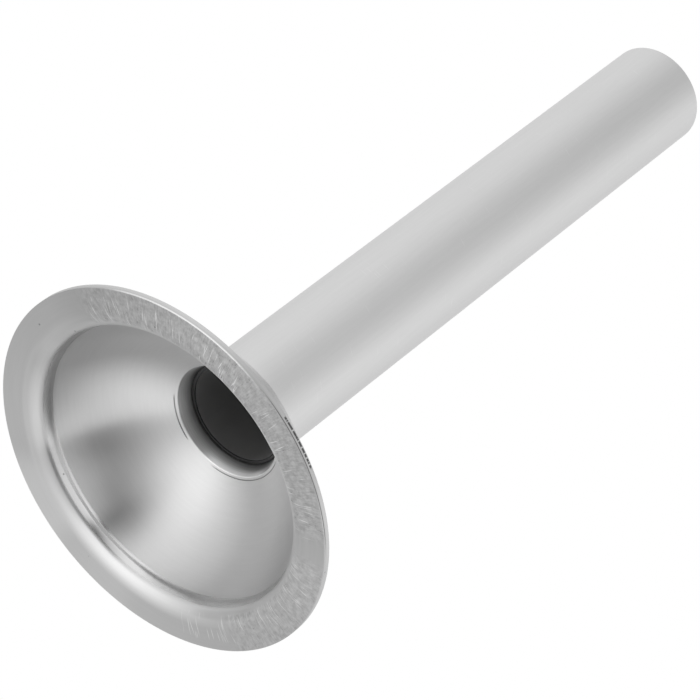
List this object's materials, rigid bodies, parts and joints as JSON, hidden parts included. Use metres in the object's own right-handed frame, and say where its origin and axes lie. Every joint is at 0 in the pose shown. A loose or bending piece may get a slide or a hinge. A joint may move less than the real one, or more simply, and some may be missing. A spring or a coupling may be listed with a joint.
{
  "type": "sausage stuffing tube",
  "caption": "Stainless steel sausage stuffing tube: flat round flange, concave spun bowl with a reamed mouth, short drawn neck, and a straight thin-walled tube welded behind it.",
  "frame": {"origin": "centre of the flange's flat front face, which is the part's lowest plane as it stands on its flange", "axes": "+Z along the tube's axis, from the flange face towards the tube's far end; X and Y lie in the flange face"},
  "size_m": [0.082, 0.082, 0.1805],
  "materials": {
    "spun_steel": "bright, machine polished, with fine radial scratches on the flange",
    "tube_steel": "satin outside, dull and dark inside",
    "weld_steel": "dull, rippled"
  },
  "bodies": {
    "root": {"flange_cup": "spun_steel", "tube": "tube_steel", "weld_bead": "weld_steel"}
  },
  "joints": []
}
